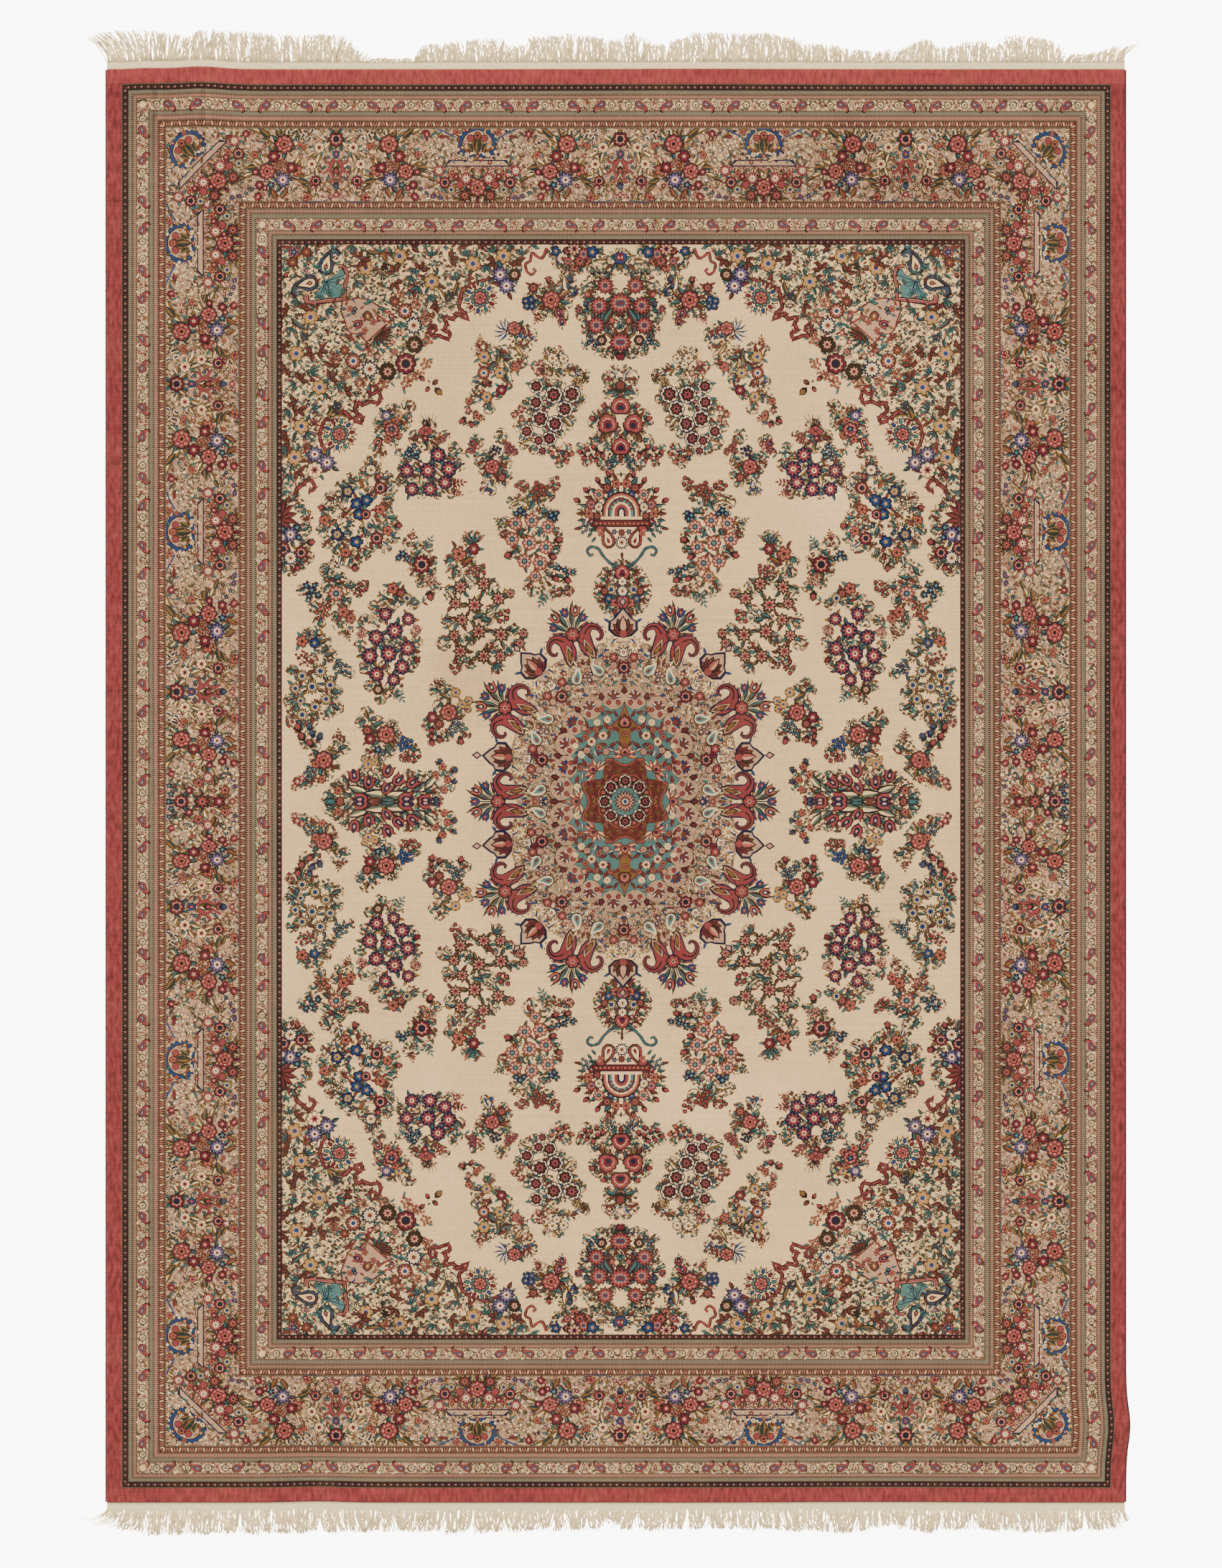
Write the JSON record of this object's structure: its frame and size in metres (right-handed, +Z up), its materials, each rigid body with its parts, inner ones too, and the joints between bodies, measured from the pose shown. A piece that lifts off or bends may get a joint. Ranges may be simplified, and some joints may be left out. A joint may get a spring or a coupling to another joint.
{
  "type": "persian rug",
  "caption": "Hand-knotted rectangular floor rug with central medallion, floral borders, overcast sides and yarn fringe at both ends.",
  "frame": {"origin": "centre of the bottom face of the whole rug's box, fringe included, on the floor", "axes": "+Z up out of the pile; +Y along the rug's length, towards the end that is at the top of the picture; +X across its width"},
  "size_m": [2.5634, 3.7096, 0.0154],
  "materials": {
    "pile": "short cut wool and silk pile, soft sheen",
    "selvedge": "overcast wool cord, matte",
    "fringe": "undyed cotton yarn, matte"
  },
  "bodies": {
    "root": {"rug_pile": "pile", "selvedge_left": "selvedge", "selvedge_right": "selvedge", "fringe_top": "fringe", "fringe_bottom": "fringe"}
  },
  "joints": []
}
